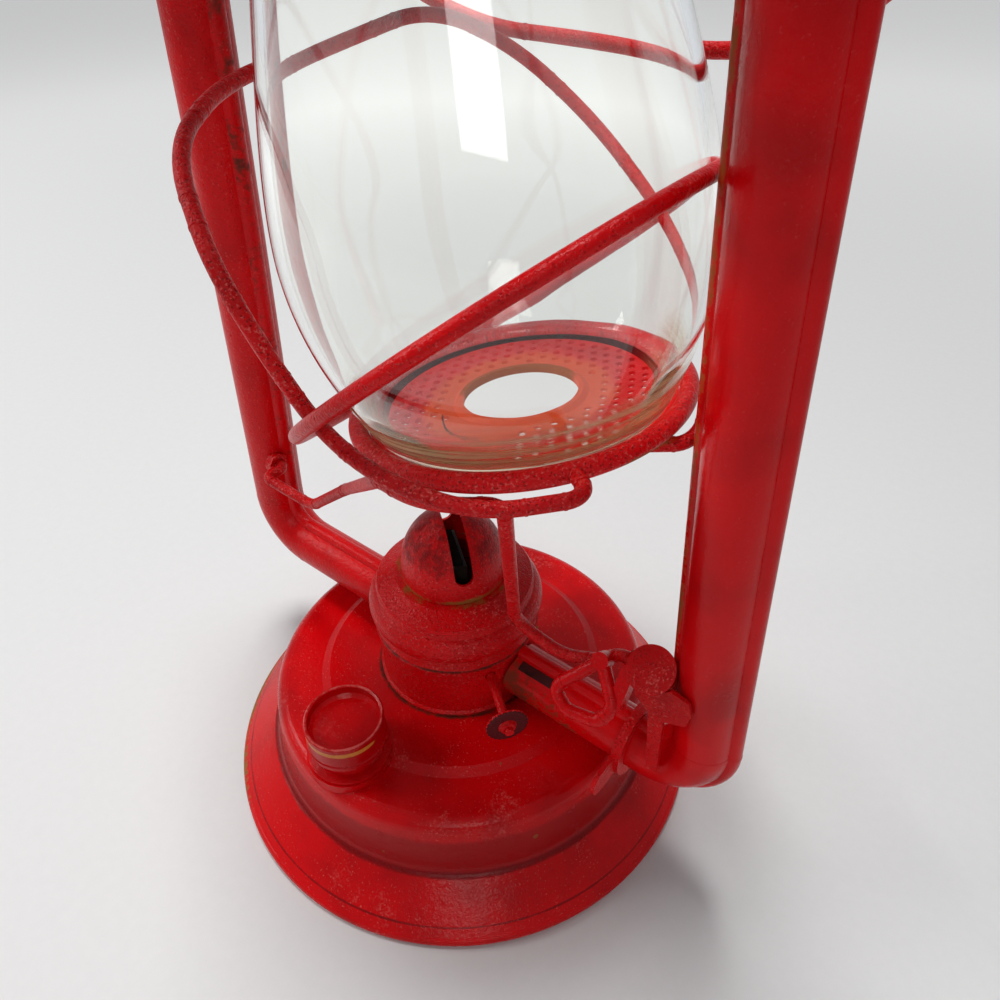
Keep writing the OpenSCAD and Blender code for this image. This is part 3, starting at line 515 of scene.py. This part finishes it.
def pale_floor():
    bpy.ops.mesh.primitive_circle_add(vertices=96, radius=4, fill_type="NGON")
    floor = bpy.context.object
    floor.name = "floor"
    finish = Finish("pale_paper")
    place = finish.place()
    x, y, z = finish.axes(place)
    fibres = finish.noise(place, 260, 3, 0.6)
    colour = finish.mix(fibres, (0.66, 0.66, 0.655, 1), (0.70, 0.70, 0.695, 1))
    far = finish.step(finish.radius(x, y), 0.25, 1.30) * finish.seen() * 0.60
    floor.data.materials.append(finish.surface({
        "Base Color": colour,
        "Roughness": 0.75,
        "Emission Color": finish.mix(far, (0, 0, 0, 1), (0.66, 0.66, 0.655, 1)),
        "Emission Strength": 1.0,
    }))


def soft_lamp(name, place, target, width, height, power):
    bpy.ops.object.light_add(type="AREA", location=place)
    lamp = bpy.context.object
    lamp.name = name
    lamp.data.shape = "RECTANGLE"
    lamp.data.size = width
    lamp.data.size_y = height
    lamp.data.energy = power
    lamp.rotation_euler = (Vector(target) - Vector(place)).to_track_quat("-Z", "Y").to_euler()


def pale_world():
    room = Finish("soft_room", bpy.data.worlds.new("soft_room"))
    light = {"Color": (0.93, 0.95, 1.0, 1), "Strength": 0.16 + room.seen() * 0.34}
    shader = room.node("ShaderNodeBackground", None, light)
    room.node("ShaderNodeOutputWorld", None, {"Surface": shader})
    bpy.context.scene.world = room.owner


def photo_camera():
    lens = bpy.data.cameras.new("photo_camera")
    lens.sensor_width = 36
    lens.lens = CAMERA_LENS
    lens.clip_start = 0.005
    camera = bpy.data.objects.new("photo_camera", lens)
    bpy.context.scene.collection.objects.link(camera)
    turn = (Matrix.Rotation(CAMERA_ROUND, 4, "Z")
            @ Matrix.Rotation(math.pi / 2 - CAMERA_DOWN, 4, "X")
            @ Matrix.Rotation(CAMERA_TILT, 4, "Z"))
    camera.matrix_world = Matrix.Translation(CAMERA_PLACE) @ turn
    bpy.context.scene.camera = camera


pale_floor()
pale_world()
soft_lamp("overhead", (-0.12, 0.10, 1.20), (0, 0, 0.05), 0.28, 0.28, 11.0)
soft_lamp("window", (-0.80, -0.45, 0.75), (0, 0, 0.10), 0.40, 0.45, 3.6)
soft_lamp("front_fill", (0.60, -0.75, 0.75), (0, 0, 0.12), 0.40, 0.40, 2.0)
photo_camera()
bpy.context.scene.view_settings.view_transform = "Standard"
